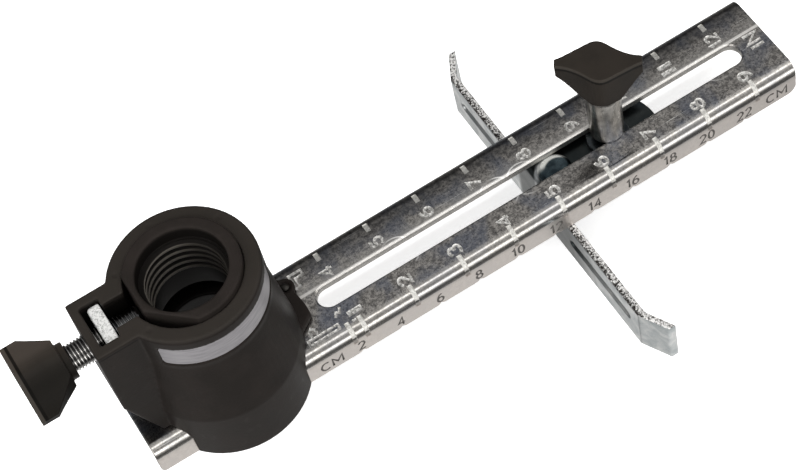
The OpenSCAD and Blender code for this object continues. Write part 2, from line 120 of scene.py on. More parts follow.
def settle(obj):
    """Applies the modifiers of a piece."""
    graph = bpy.context.evaluated_depsgraph_get()
    mesh = bpy.data.meshes.new_from_object(obj.evaluated_get(graph), depsgraph=graph)
    obj.modifiers.clear()
    old, obj.data = obj.data, mesh
    bpy.data.meshes.remove(old)
    return obj


def modified(obj, kind, **settings):
    """Adds a modifier to a piece and applies it."""
    modifier = obj.modifiers.new(kind.lower(), kind)
    for key, value in settings.items():
        setattr(modifier, key, value)
    return settle(obj)


def cut(obj, cutter, **settings):
    """Takes the cutter out of a piece. Faces made by the cut wear the cutter's finish."""
    modified(obj, "BOOLEAN", operation="DIFFERENCE", solver="EXACT", material_mode="TRANSFER",
             object=cutter, **settings)
    bpy.data.objects.remove(cutter)
    return obj


def shaded(obj, sharp=35):
    """Smooth shading that keeps creases, with the large faces holding the normals."""
    mesh = obj.data
    mesh.shade_smooth()
    mesh.set_sharp_from_angle(angle=math.radians(sharp))
    return modified(obj, "WEIGHTED_NORMAL", mode="FACE_AREA", keep_sharp=True, weight=50)


def joined(name, objs):
    """One object from several, in their order."""
    points, faces = [], []
    for obj in objs:
        start = len(points)
        points += [v.co / MM for v in obj.data.vertices]
        faces += [[start + i for i in f.vertices] for f in obj.data.polygons]
        bpy.data.objects.remove(obj)
    return piece(name, points, faces)


def skinned(name, rows, capped=True, looped=False):
    """A closed skin over rows of points, each row a ring of the same count.

    The ends are capped, or the last row joins the first."""
    count = len(rows[0])
    points = [p for row in rows for p in row]
    faces = []
    last = len(rows) if looped else len(rows) - 1
    for r in range(last):
        a, b = r * count, (r + 1) % len(rows) * count
        for i in range(count):
            j = (i + 1) % count
            faces.append((a + i, a + j, b + j, b + i))
    if capped and not looped:
        faces.append(tuple(reversed(range(count))))
        faces.append(tuple((len(rows) - 1) * count + i for i in range(count)))
    return piece(name, points, faces)


def eased(outline, radius, steps=4, closed=False):
    """An outline with its corners rounded. radius is one number, or one for each point."""
    count = len(outline)
    radii = radius if isinstance(radius, (list, tuple)) else [radius] * count
    result = []
    for i, here in enumerate(outline):
        here = Vector(here)
        inner = closed or 0 < i < count - 1
        if not inner or radii[i] <= 0:
            result.append(tuple(here))
            continue
        before = Vector(outline[i - 1]) - here
        after = Vector(outline[(i + 1) % count]) - here
        half = before.angle(after) / 2
        reach = min(radii[i] / math.tan(half), 0.49 * before.length, 0.49 * after.length)
        start, end = before.normalized() * reach, after.normalized() * reach
        centre = (start + end).normalized() * (reach / math.cos(half))
        for k in range(steps + 1):
            spoke = (start - centre).lerp(end - centre, k / steps)
            result.append(tuple(here + centre + spoke.normalized() * (start - centre).length))
    return result


def ring(radius, height, steps, centre=(0, 0)):
    """A level circle of points. radius is a number or a function of the angle."""
    at = radius if callable(radius) else lambda angle: radius
    return [(centre[0] + at(a) * math.cos(a), centre[1] + at(a) * math.sin(a), height)
            for a in (TURN * i / steps for i in range(steps))]


def turned(name, profile, centre=(0, 0), steps=128, looped=False):
    """A turned piece from its profile of (radius, height) points, bottom to top.

    A looped profile is a closed section round a bore."""
    return skinned(name, [ring(r, z, steps, centre) for r, z in profile], looped=looped)


def towards_back(obj, x, z):
    """Lays a piece made along +Z down so that it runs along -X from x at the height z."""
    turn = Euler((0, -math.pi / 2, 0)).to_matrix().to_4x4()
    obj.data.transform(Matrix.Translation(Vector((x, 0, z)) * MM) @ turn)
    return obj


def softened_copy(name, node, voxel, passes, holes=()):
    """A finely remeshed copy of a CAD node whose edges are eased as a mould or a press leaves them.

    The CAD node itself stays as it is."""
    obj = bpy.data.objects.new(name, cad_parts[node].data.copy())
    bpy.context.scene.collection.objects.link(obj)
    obj.data.materials.clear()
    modified(obj, "WELD", merge_threshold=MM / 1000)
    for hole in holes:
        cut(obj, hole)
    modified(obj, "REMESH", mode="VOXEL", voxel_size=voxel * MM, adaptivity=0)
    modified(obj, "SMOOTH", factor=0.5, iterations=passes)
    obj.data.shade_smooth()
    return obj


def smoothstep(low, high, value):
    """0 below low, 1 above high and a smooth rise between them."""
    share = min(1, max(0, (value - low) / (high - low)))
    return share * share * (3 - 2 * share)


def ridge(share, land=0.13, foot=0.36):
    """Height, from 0 to 1, of a thread's ridge at a share of its pitch from the ridge's middle."""
    away = abs((share + 0.5) % 1 - 0.5)
    return 1 - smoothstep(land, foot, away)


# Finishes

def paint(red, green, blue):
    """A linear colour from the 0 to 255 values that a screen shows."""
    def linear(value):
        value /= 255
        return value / 12.92 if value <= 0.04045 else ((value + 0.055) / 1.055) ** 2.4
    return (linear(red), linear(green), linear(blue), 1)


class Wire:
    """An output of a node. Sums and products of wires and numbers add Math nodes."""

    def __init__(self, owner, socket):
        self.owner, self.socket = owner, socket

    def math(self, operation, *values):
        return self.owner.node("ShaderNodeMath", {"operation": operation}, dict(enumerate(values)))

    def __add__(self, other):
        return self.math("ADD", self, other)

    def __sub__(self, other):
        return self.math("SUBTRACT", self, other)

    def __rsub__(self, other):
        return self.math("SUBTRACT", other, self)

    def __mul__(self, other):
        return self.math("MULTIPLY", self, other)

    __radd__, __rmul__ = __add__, __mul__

    def __pow__(self, other):
        return self.math("POWER", self, other)

    def between(self, low, high):
        """0 below low, 1 above high and a smooth rise between them."""
        return self.owner.node("ShaderNodeMapRange", {"interpolation_type": "SMOOTHSTEP"},
                               {"Value": self, "From Min": low, "From Max": high})

    def part(self, axis):
        """The X, Y or Z of a vector."""
        return self.owner.node("ShaderNodeSeparateXYZ", {}, {0: self}, axis)


class Nodes:
    """Nodes of a finish or of the sky, made by plain calls."""

    def __init__(self, owner):
        owner.use_nodes = True
        self.tree = owner.node_tree

    def node(self, kind, settings=None, inputs=None, out=0):
        """Adds a node, sets it up, feeds its sockets and gives one of its outputs."""
        node = self.tree.nodes.new(kind)
        for key, value in (settings or {}).items():
            setattr(node, key, value)
        for key, value in (inputs or {}).items():
            self.feed(node.inputs[key], value)
        return Wire(self, node.outputs[out])

    def feed(self, socket, value):
        if isinstance(value, Wire):
            self.tree.links.new(value.socket, socket)
        else:
            socket.default_value = value

    def mix(self, share, first, second):
        """A colour between two colours."""
        return self.node("ShaderNodeMix", {"data_type": "RGBA"}, {0: share, 6: first, 7: second}, 2)


class Finish(Nodes):
    """A material. Lengths in its patterns are millimetres."""

    def __init__(self, name, **constants):
        self.material = bpy.data.materials.new(name)
        super().__init__(self.material)
        self.shader = self.tree.nodes["Principled BSDF"]
        for key, value in constants.items():
            self.shader.inputs[key.replace("_", " ")].default_value = value
        place = self.node("ShaderNodeTexCoord", out="Object")
        self.place = self.node("ShaderNodeVectorMath", {"operation": "SCALE"},
                               {0: place, "Scale": 1 / MM})

    def xyz(self):
        """The three coordinates of the place on the piece."""
        return [self.place.part(axis) for axis in "XYZ"]

    def set(self, **values):
        """Feeds sockets of the shader, such as Base_Color."""
        for key, value in values.items():
            self.feed(self.shader.inputs[key.replace("_", " ")], value)
        return self

    def stretched(self, x, y, z):
        """Coordinates in which a pattern is x, y and z times as long along each axis."""
        return self.node("ShaderNodeVectorMath", {"operation": "MULTIPLY"},
                         {0: self.place, 1: (1 / x, 1 / y, 1 / z)})

    def grain(self, size, detail=2, vector=None, roughness=0.5, distortion=0):
        """Noise from 0 to 1 whose grains are about this size."""
        return self.node("ShaderNodeTexNoise", {},
                         {"Vector": vector or self.place, "Scale": 1 / size, "Detail": detail,
                          "Roughness": roughness, "Distortion": distortion})

    def bump(self, *layers):
        """Feeds the normal with relief, each layer a height from 0 to 1 and its depth."""
        height = sum(wire * depth for wire, depth in layers)
        normal = self.node("ShaderNodeBump", {}, {"Strength": 1, "Distance": MM, "Height": height})
        return self.set(Normal=normal)


def moulded_plastic(name, shade, light, roughness, grain_depth):
    """Satin moulded plastic with fine grain, cloudy patches and rubbed spots."""
    finish = Finish(name, Metallic=0, IOR=1.16)
    clouds = finish.grain(7, 3)
    fine = finish.grain(0.35, 2)
    rubs = finish.grain(2.2, 4, distortion=0.6).between(0.58, 0.75)
    finish.tone = finish.mix(clouds.between(0.35, 0.7) * 0.7 + rubs * 0.3, shade, light)
    finish.set(Base_Color=finish.tone, Roughness=roughness + (clouds - 0.5) * 0.14 - rubs * 0.06)
    return finish.bump((fine, grain_depth), (clouds, grain_depth * 1.5))


def cup_finish():
    """The cup's plastic: a painted highlight along its top, and painted shade in the bore and in the
    nut's pocket.
    """
    finish = moulded_plastic("black_plastic", paint(30, 27, 25), paint(36, 32, 30), 0.42, 0.02)
    x, y, z = finish.xyz()
    # painted shade: the bore, and the nut's pocket below the top, are painted near black
    bore = 1 - ((x ** 2 + y ** 2) ** 0.5).between(12.4, 12.65)
    aside = y.math("ABSOLUTE", y)
    pocket = x.between(-21.8, -21.5) * (1 - x.between(-12.2, -11.8)) * (1 - aside.between(5.3, 5.7))
    deep = 1 - z.between(cup_top - 2.5, cup_top - 0.3)
    # painted highlight: the band along the top edge is painted lighter
    top_highlight = z.between(cup_top - 0.5, cup_top - 0.1)
    shade = finish.mix(top_highlight * 0.42, finish.tone, paint(48, 45, 41))
    # the mould's parting line runs under the clamp block's top edge
    seam = z.between(cup_top - 1.5, cup_top - 1.35) - z.between(cup_top - 1.1, cup_top - 0.95)
    shade = finish.mix(seam * (1 - x.between(-15, -14)) * 0.8, shade, paint(8, 7, 6))
    return finish.set(Base_Color=finish.mix((bore + pocket * deep) * 0.9, shade, paint(9, 8, 7)))


def collar_finish():
    """The collar's plastic: painted shade in its bore, and a painted highlight on its thread's crests
    on the clamp's side.
    """
    finish = moulded_plastic("black_plastic_ring", paint(32, 29, 27), paint(38, 34, 32), 0.42, 0.012)
    x, y, z = finish.xyz()
    away = (x ** 2 + y ** 2) ** 0.5
    # painted shade: the bore below its top edge is painted darker
    deep = (1 - z.between(collar_high.z - 1.3, collar_high.z - 0.3)) * (1 - away.between(9.75, 10))
    # painted highlight on the thread's crests, fading out away from the clamp's side
    crest = 1 - away.between(8.52, 8.75)
    shade = finish.mix(deep * 0.85, finish.tone, paint(13, 12, 11))
    fading = 1 - x.between(-1, 7) * 0.8
    return finish.set(Base_Color=finish.mix(crest * deep * fading * 0.8, shade, paint(92, 88, 82)),
                      Specular_IOR_Level=0.2)


def wing_finish(name, axis, outer_face, way, lit=0):
    """A knob's plastic: a painted highlight on the rim round its outer face and a dark line under the
    rim.

    outer_face is the face's place on the axis, and way is 1 or -1, the axis's sign from that
    face into the knob. lit, from 0 to 1, is how strongly the far side is painted lighter and the
    near side darker, as painted light and shade."""
    finish = moulded_plastic(name, paint(35, 32, 29), paint(42, 38, 34), 0.4, 0.015)
    drop = (finish.place.part(axis) - outer_face) * way
    # painted highlight on the rim round the outer face
    rim = drop.between(0.02, 0.1) - drop.between(0.85, 0.95)
    line = drop.between(0.93, 1) - drop.between(1.55, 1.7)
    # painted light and shade: the far side is painted lighter and the near side darker, as much as lit
    side = finish.place.part("Y")
    shade = finish.mix(side.between(-1, 4) * lit, finish.tone, paint(64, 58, 53))
    shade = finish.mix((1 - side.between(-4, 1)) * lit, shade, paint(16, 15, 13))
    shade = finish.mix(rim * 0.5, shade, paint(66, 62, 57))
    return finish.set(Base_Color=finish.mix(line * 0.85, shade, paint(8, 7, 6)))


def zinc_plate():
    """The beam's zinc-plated sheet: fine mottle, blue-grey patches, specks, scratches and rubs, with
    painted highlight and shade on its far strip.
    """
    finish = Finish("zinc_sheet", Metallic=1)
    x, y, z = finish.xyz()
    patch = finish.grain(9, 2, distortion=0.3)
    mottle = finish.grain(1.1, 5, roughness=0.75)
    streak = finish.grain(1, 3, finish.stretched(14, 0.5, 0.5))
    speck = finish.grain(0.42, 2, roughness=0.7)
    scratch = finish.grain(1, 2, finish.stretched(24, 0.16, 0.16)).between(0.66, 0.74)
    shade = finish.mix(mottle.between(0.38, 0.62), paint(240, 236, 231), paint(146, 144, 142))
    shade = finish.mix(patch.between(0.44, 0.66) * 0.6, shade, paint(138, 149, 172))
    shade = finish.mix(speck.between(0.54, 0.66) * 0.8, shade, paint(62, 62, 62))
    shade = finish.mix(scratch * 0.6, shade, paint(244, 244, 242))
    # circles that the post's foot rubbed where it was locked, worn through in places
    wear_and_rim_highlight = scratch * 0.35
    patchy = patch.between(0.4, 0.62) * mottle.between(0.36, 0.52)
    for locked_x in (44.7, 70.5, 77.5, 85.2, 127.5):
        away = ((x - locked_x) ** 2 + y ** 2) ** 0.5
        rub = (away.between(4, 4.15) - away.between(4.35, 4.5)) * patchy
        shade = finish.mix(rub * 0.7, shade, paint(250, 249, 246))
        wear_and_rim_highlight = wear_and_rim_highlight + rub * 0.4
    # painted light on the far strip: a painted highlight beside the slot, a brighter one at its rim,
    # and painted shade towards the edge
    top = z.between(-1.6, -0.4)
    shade = finish.mix((y.between(2.4, 2.9) - y.between(3, 7)) * top * 0.5, shade, paint(248, 246, 242))
    shade = finish.mix(y.between(4.6, 10.6) * top * 0.64, shade, paint(50, 51, 55))
    rim = (y.between(2.7, 2.95) - y.between(3.4, 3.75)) * top
    shade = finish.mix(rim * 0.6, shade, paint(250, 248, 244))
    # the rim's painted highlight also lowers the metallic, as the scratches and rubs do
    wear_and_rim_highlight = wear_and_rim_highlight + rim * 0.32
    # the near bend and flange are plainer than the top
    rounding = (y * -1).between(8.5, 9.2)
    shade = finish.mix(rounding * 0.6, shade, paint(222, 219, 214))
    flange = (z * -1).between(3, 3.4) * (y * -1).between(8, 9)
    shade = finish.mix(flange * 0.75, shade, paint(220, 213, 208))
    finish.set(Base_Color=shade, Metallic=1 - wear_and_rim_highlight,
               Roughness=0.11 + mottle * (0.1 - rounding * 0.07) + streak * 0.05 + flange * 0.2)
    return finish.bump((mottle * (1 - rounding * 0.85), 0.016), (streak, 0.003),
                       (speck * (1 - rounding * 0.7), 0.006))


def bright_cut(name, shade, dull, roughness, metallic=1, size=0.3, low=0.35, high=0.7):
    """Bare or stamped metal with fine tears, which turn dull as they rise from low to high.

    size is the length of a tear."""
    finish = Finish(name, Metallic=metallic)
    tears = finish.grain(size, 3, roughness=0.7)
    finish.set(Base_Color=finish.mix(tears.between(low, high), shade, dull),
               Roughness=roughness + tears * 0.15)
    return finish.bump((tears, 0.03))


def sheared_edge():
    """Sheared steel of the fence's edges and the beam's corners: torn dark and bright specks.

    It is darkest along the fence's face."""
    finish = Finish("sheared_edge", Metallic=0.4)
    tears = finish.grain(0.5, 4, roughness=0.75)
    along_face = 1 - finish.place.part("X").between(fence_low.x, fence_low.x + 1.5)
    dark = (tears + along_face * 0.1).between(0.47, 0.59)
    finish.set(Base_Color=finish.mix(dark, paint(226, 225, 223), paint(36, 32, 30)),
               Roughness=0.45 + tears * 0.15)
    return finish.bump((tears, 0.02))


def blue_zinc():
    """Blue-white zinc plate on the stamped fence."""
    finish = Finish("zinc_stamping", Metallic=1)
    blotch = finish.grain(4, 5, roughness=0.6, distortion=0.4)
    speck = finish.grain(0.4, 3, roughness=0.7)
    drawn = finish.grain(1, 3, finish.stretched(0.6, 12, 0.6))
    y = finish.place.part("Y")
    shade = finish.mix(blotch.between(0.3, 0.65), paint(234, 236, 236), paint(194, 201, 203))
    shade = finish.mix(speck.between(0.6, 0.72) * 0.5, shade, paint(110, 116, 122))
    # painted shade, dark where the fence runs under the beam
    beam_shade = 1 - (y * -1).between(10, 26) - y.between(9, 11)
    shade = finish.mix(beam_shade * 0.93, shade, paint(34, 44, 46))
    # a painted highlight on the plate round the far side of the pin's seat
    away = ((finish.place.part("X") - pin_x + 0.8) ** 2 + y ** 2) ** 0.5
    seat_highlight = away.between(2.9, 3.3) - away.between(3.7, 4.4)
    seat_highlight = seat_highlight * y.between(-0.5, 1.5) * (1 - y.between(5, 6))
    shade = finish.mix(seat_highlight * 0.6, shade, paint(214, 218, 220))
    finish.set(Base_Color=shade, Metallic=1 - seat_highlight * 0.35,
               Roughness=0.24 + blotch * 0.14 + drawn * 0.06)
    return finish.bump((blotch, 0.015), (drawn, 0.006), (speck, 0.01))


def plated(name, shade, dull, roughness, along=(1, 1, 1)):
    """Plating over a turned surface, cloudy, its tool marks stretched along each axis."""
    finish = Finish(name, Metallic=1)
    marks = finish.grain(0.5, 3, finish.stretched(*along))
    cloud = finish.grain(2.5, 3)
    finish.tone = finish.mix(cloud.between(0.35, 0.7), shade, dull)
    finish.set(Base_Color=finish.tone, Roughness=roughness + marks * 0.12 + cloud * 0.06)
    return finish.bump((marks, 0.012), (cloud, 0.02))


def rubbed_head():
    """The pin's dull blue head, with a painted highlight along the far side of its rim."""
    finish = plated("pin_steel", paint(108, 126, 134), paint(62, 76, 84), 0.2)
    x, y = (finish.place.part(axis) for axis in "XY")
    away = ((x - pin_x - 0.5) ** 2 + (y + 1) ** 2) ** 0.5
    rim = away.between(2.75, 3.3) * y.between(0.2, 1.8)
    finish.set(Metallic=1 - rim * 0.4)
    return finish.set(Base_Color=finish.mix(rim * 0.85, finish.tone, paint(244, 245, 240)))


def cut_thread():
    """The clamp screw's plating: bright crests, painted shade in its roots and a bluish painted shade
    on its inner end inside the clamp block.
    """
    finish = plated("screw_steel", paint(240, 239, 237), paint(196, 196, 196), 0.06)
    x, y, z = finish.xyz()
    away = (y ** 2 + (z - screw_z) ** 2) ** 0.5
    root_shade = (1 - away.between(screw_radius - 0.36, screw_radius - 0.1)) * (1 - x.between(-16.5, -16))
    shade = finish.mix(root_shade * 0.85, finish.tone, paint(24, 24, 25))
    pocket_shade = x.between(-20, -18)
    return finish.set(Base_Color=finish.mix(pocket_shade * 0.7, shade, paint(36, 44, 54)))


def foil():
    """Bare silver-white label foil with a faint rolled sheen."""
    finish = Finish("label_silver", Metallic=0.35, IOR=1.5)
    rolled = finish.grain(1, 3, finish.stretched(4, 4, 0.25))
    cloud = finish.grain(3, 3)
    silver = finish.mix(rolled.between(0.3, 0.7), paint(146, 144, 147), paint(126, 124, 128))
    finish.set(Base_Color=silver, Roughness=0.3 + cloud * 0.15)
    return finish.bump((rolled, 0.006), (cloud, 0.02))


def floor_paint():
    """Pale paint that glows a little, as a lit studio floor does."""
    finish = Finish("pale_floor", Metallic=0, Emission_Color=(1, 1, 1, 1), Emission_Strength=0.6)
    cloud = finish.grain(160, 2)
    return finish.set(Base_Color=finish.mix(cloud, paint(246, 246, 246), paint(243, 243, 243)),
                      Roughness=0.6 + cloud * 0.1)


cup_plastic = cup_finish()
collar_plastic = collar_finish()
lock_plastic = wing_finish("knob_plastic", "Z", lock_knob_top, -1)
clamp_plastic = wing_finish("knob_plastic_clamp", "X", clamp_knob_end, 1, 0.85)
zinc = zinc_plate()
# the marks and figures on the top are painted brighter than the plate, a painted highlight, and the
# figures on the flange darker, a painted shade in their grooves
groove = bright_cut("stamped_groove", paint(250, 249, 245), paint(206, 205, 201), 0.42, 0.88, 0.5)
figure = bright_cut("stamped_figure", paint(255, 254, 251), paint(168, 167, 164),
                    0.42, 0.78, 0.6, 0.4, 0.62)
slot_wall = bright_cut("slot_wall", paint(206, 204, 200), paint(158, 156, 153), 0.35)
stamp = bright_cut("stamped_scale", paint(146, 143, 140), paint(104, 101, 99), 0.45)
stamping = blue_zinc()
sheared = sheared_edge()
frosted = bright_cut("bright_steel", paint(232, 232, 230), paint(150, 151, 149),
                     0.45, 0.4, 0.4, 0.45)
pin_steel = rubbed_head()
oxide = plated("dark_steel", paint(86, 84, 81), paint(58, 56, 54), 0.35)
screw_steel = cut_thread()
# painted shade: the washer and the stud under the plate wear a darker copy of steel
shaded_steel = plated("shaded_steel", paint(92, 98, 102), paint(58, 63, 67), 0.2)
turned_steel = plated("post_steel", paint(178, 176, 172), paint(126, 124, 120), 0.2, (0.4, 0.4, 9))
label_foil = foil()


def wears(obj, *finishes):
    """Gives a piece its finishes, in the order of its faces' material numbers."""
    obj.data.materials.clear()
    for finish in finishes:
        obj.data.materials.append(finish.material)
    return obj


def placed(obj, body, slot, *nodes):
    """Puts a finished piece on its body in place of the CAD nodes that it stands for."""
    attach(obj, body)
    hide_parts(*nodes)
    return obj


# Stamped figures, as strokes on a body one unit high

def arc(x, y, rx, ry, start, end, steps=14):
    """Points on an ellipse round (x, y), its start and end in degrees."""
    angles = [math.radians(start + (end - start) * i / steps) for i in range(steps + 1)]
    return [(x + rx * math.cos(a), y + ry * math.sin(a)) for a in angles]


SIX = [arc(0.3, 0.29, 0.27, 0.29, 0, 360, 20), arc(0.56, 0.3, 0.53, 0.7, 98, 178, 8)]
STROKES = {
    "0": [arc(0.3, 0.5, 0.27, 0.5, 0, 360, 22)],
    "1": [[(0.14, 0.8), (0.36, 1), (0.36, 0)]],
    "|": [[(0.12, 0), (0.3, 0), (0.3, 1), (0.12, 1), (0.12, 0)]],
    "2": [arc(0.3, 0.72, 0.27, 0.28, 165, -38) + [(0.02, 0), (0.58, 0)]],
    "3": [arc(0.28, 0.75, 0.25, 0.25, 155, -80), arc(0.28, 0.26, 0.29, 0.26, 85, -155)],
    "4": [[(0.44, 0), (0.44, 1), (0.02, 0.3), (0.62, 0.3)]],
    "5": [[(0.54, 1), (0.13, 1), (0.09, 0.55)] + arc(0.29, 0.32, 0.29, 0.32, 128, -150)],
    "6": SIX,
    "7": [[(0.03, 1), (0.57, 1), (0.2, 0)]],
    "8": [arc(0.3, 0.76, 0.22, 0.24, 0, 360, 18), arc(0.3, 0.26, 0.28, 0.26, 0, 360, 18)],
    "9": [[(0.6 - x, 1 - y) for x, y in stroke] for stroke in SIX],
    "I": [[(0.06, 0), (0.06, 1)]],
    "N": [[(0, 0), (0, 1), (0.6, 0), (0.6, 1)]],
    "C": [arc(0.34, 0.5, 0.34, 0.5, 52, 308, 16)],
    "M": [[(0, 0), (0, 1), (0.36, 0.34), (0.72, 1), (0.72, 0)]],
}
# "|" is the narrow boxed 1 of the inch scales
FIGURE_WIDTHS = {"1": 0.46, "|": 0.42, "I": 0.12, "N": 0.6, "C": 0.6, "M": 0.72}
FIGURE_WIDTH = 0.6
FIGURE_GAP = 0.24
UP = Vector((0, 0, 1))


def stroke_tool(path, half_width, depth, sides=12):
    """Rows of a round-nosed stamp, half_width to each side and depth deep, along a level path."""
    path = [Vector(p) for p in path]
    closed = (path[0] - path[-1]).length < half_width / 4
    if closed:
        path = path[:-1]
    rows = []
    for i, here in enumerate(path):
        before = here - path[i - 1] if closed or i else path[1] - here
        after = path[(i + 1) % len(path)] - here if closed or i < len(path) - 1 else before
        along = (before.normalized() + after.normalized()).normalized()
        aside = along.cross(UP).normalized() / max(0.5, along.dot(before.normalized()))
        rows.append([here + aside * half_width * math.cos(a) + UP * depth * math.sin(a)
                     for a in (TURN * k / sides for k in range(sides))])
    return rows, closed


def lettering(text, height, half_width, depth, widen=1):
    """Cutters for a line of figures, flat on z = 0 with its middle at the origin."""
    widths = [FIGURE_WIDTHS.get(c, FIGURE_WIDTH) for c in text]
    start = -(sum(widths) + FIGURE_GAP * (len(text) - 1)) / 2
    tools = []
    for c, width in zip(text, widths):
        for stroke in STROKES[c]:
            path = [((start + x) * height * widen, (y - 0.5) * height, 0) for x, y in stroke]
            rows, closed = stroke_tool(path, half_width, depth)
            tools.append(skinned("tool", rows, looped=closed))
        start += width + FIGURE_GAP
    return tools


def set_down(tools, place, right, up):
    """Moves flat cutters so that their text reads along right, with its top towards up."""
    right, up = Vector(right), Vector(up)
    turn = Matrix((right, up, right.cross(up))).transposed().to_4x4()
    for tool in tools:
        tool.data.transform(Matrix.Translation(Vector(place) * MM) @ turn)
    return tools


# Pieces of the frame

def channel_section(inset):
    """The beam's section across X, drawn in by a small inset, as points (y, z)."""
    near, far = beam_near + inset, beam_far - inset
    in_near, in_far = beam_near + sheet - inset, beam_far - sheet + inset
    foot, top, under = beam_low.z + inset, -inset, -sheet + inset
    edge, outer, inner = 0.3, bend - inset, bend - sheet + inset
    # the near bend ends a few degrees early and runs on in a faint bow down to the flange
    last, bow, set_in, run = 84, 0.066, 0.05, 1.25
    drop = top - outer + outer * math.cos(math.radians(last))
    corners = [(near, foot)]
    corners += [(near + bow * (1 - s / 4) ** 2, drop - run * s / 4) for s in (4, 3, 2, 1)]
    corners += [(near + set_in + outer - outer * math.sin(a), top - outer + outer * math.cos(a))
                for a in (math.radians(last - 6 * k) for k in range(last // 6 + 1))]
    plain = len(corners) - 1
    corners += [(far, top), (far, foot), (in_far, foot),
                (in_far, under), (in_near, under), (in_near, foot)]
    radii = [edge] + [0] * plain + [outer, edge, edge, inner, inner, edge]
    return eased(corners, radii, 8, closed=True)


def rim_rows(outline_at, low, high, soft_low, soft_high):
    """Rows of a cutter that leaves rounded rims, of radius soft_low at low and soft_high at high.

    outline_at gives the outline for a height and for how much wider it is there."""
    angles = [math.radians(15 * k) for k in range(7)]
    rows = [outline_at(low - 1, soft_low + 1)]
    rows += [outline_at(low + soft_low * (1 - math.cos(a)), soft_low * (1 - math.sin(a)))
             for a in angles]
    rows += [outline_at(high - soft_high * (1 - math.cos(a)), soft_high * (1 - math.sin(a)))
             for a in reversed(angles)]
    return rows + [outline_at(high + 1, soft_high + 1)]


def stadium(start, end, half_width, height, steps=24):
    """A level slot outline with round ends, between the x of its two ends."""
    outline = []
    for middle, first in ((start + half_width, math.pi / 2), (end - half_width, -math.pi / 2)):
        outline += [(middle + half_width * math.cos(a), half_width * math.sin(a), height)
                    for a in (first + math.pi * i / steps for i in range(steps + 1))]
    return outline


# The scales read diameters, so a mark's step along the beam is half of what it says
inch_step = 12.7
centimetre_step = 5
inch_marks = [29.5 + i * inch_step for i in range(9)]
extra_near_mark = 26.4
centimetres = range(2, 24, 2)
centimetre_zero = 17.4

# The slot lies a little to the far side of the tool's axis, and its rims are rolled over
slot_start, slot_end = 24.1, 134.3
slot_half, slot_aside = 2.78, 0.12
slot_under_rim, slot_top_rim = 0.2, 0.55
cutter_hole, hole_rim = 9.1, 0.15


def edge_groove(x, side, reach, turn, run=0, width=1.12, depth=0.22):
    """A cutter for a mark at x over a bend, the near one where side is -1.

    It starts reach in from the beam's edge, follows the bend for turn degrees and may run on
    down the flange."""
    edge = beam_far if side > 0 else -beam_near
    path = [(edge - reach, 0.0)]
    path += [(edge - bend + bend * math.sin(a), -bend + bend * math.cos(a))
             for a in (math.radians(turn * k / 8) for k in range(9))]
    if run:
        path.append((edge, -bend - run))
    rows = []
    for i, (y, z) in enumerate(path):
        angle = math.radians(turn * min(8, max(0, i - 1)) / 8)
        out = Vector((0, side * math.sin(angle), math.cos(angle)))
        here = Vector((x, side * y, z))
        across = Vector((1, 0, 0))
        sink = depth * (0.35 if i in (0, len(path) - 1) else 1)
        half = [(0.62, 0.3), (0.5, -0.02), (0.36, -sink)]
        section = half + [(-share, rise) for share, rise in reversed(half)]
        rows.append([here + across * width * share + out * rise for share, rise in section])
    return skinned("mark", rows)


# Plain stamped marks at the cup's end of the top face
PLAIN_MARKS = [
    [(21.9, 9.4), (24.8, 9.4), (24.8, 8.1), (22.9, 8.1), (22.9, 5.6), (21.9, 5.6), (21.9, 9.4)],
    [(17.4, -7.3), (24.7, -7.3), (24.7, -8.5), (17.4, -8.5), (17.4, -7.3)],
    [(18.7, -6.9), (18.8, -5.4), (19.4, -4.9), (20, -5.5), (20.1, -6.9)],
    [(25.2, -5.7), (25.9, -4.6), (26.5, -5.1), (27.2, -3.8)],
    [(27.7, -8.5), (28.8, -8.5)],
]


def slot_outline(z, grow):
    """The slot's outline at a height, wider by grow all round."""
    return [(x, y + slot_aside, z)
            for x, y, z in stadium(slot_start - grow, slot_end + grow, slot_half + grow, z)]


def end_corner(end, way, radius):
    """A cutter that rounds both flanges' lower corners at one end of the beam."""
    past, foot = 2, beam_low.z
    corner = [(end + way * past, foot - past), (end + way * past, foot + radius)]
    corner += [(end - way * (radius - radius * math.cos(a)), foot + radius + radius * math.sin(a))
               for a in (-math.radians(d) for d in range(0, 91, 6))]
    corner += [(end - way * radius, foot - past)]
    return skinned("corner", [[(x, y, z) for x, z in corner]
                              for y in (beam_far + past, beam_near - past)])


def flange_notch(cm):
    """A cutter for the small notch under a centimetre figure on the near flange."""
    section = [(-1.9, -0.6), (-1.9, 0), (-1, 0.14), (-0.42, 0.5), (0, 0.85), (0.42, 0.5), (1, 0.14),
               (1.9, 0), (1.9, -0.6)]
    middle = centimetre_zero + centimetre_step * cm
    return skinned("notch", [[(middle + x, y, beam_low.z + z) for x, z in section]
                             for y in (beam_near - 1, beam_near + sheet + 1)])


def top_figures():
    """Cutters for the figures and plain marks on the top face, which read from the scale end."""
    across, back = (0, 1, 0), (-1, 0, 0)
    near_row, far_row, depth = -6.55, 5.45, 0.17
    tools = []
    for number, x in enumerate(inch_marks, 1):
        near, far = str(number).replace("1", "|"), str(number + 3).replace("11", "||")
        far_widen = 1.4 if len(far) == 1 else 1.05
        tools += set_down(lettering(near, 2.75, 0.38, depth, 1.45), (x, near_row, 0), across, back)
        tools += set_down(lettering(far, 2.75, 0.36, depth, far_widen), (x, far_row, 0), across, back)
    tools += set_down(lettering("IN", 3.3, 0.4, 0.18, 1.2), (138.2, 0.3, 0), across, back)
    for path in PLAIN_MARKS:
        rows, closed = stroke_tool([(x, y, 0) for x, y in path], 0.32, depth)
        tools.append(skinned("plain_mark", rows, looped=closed))
    return tools


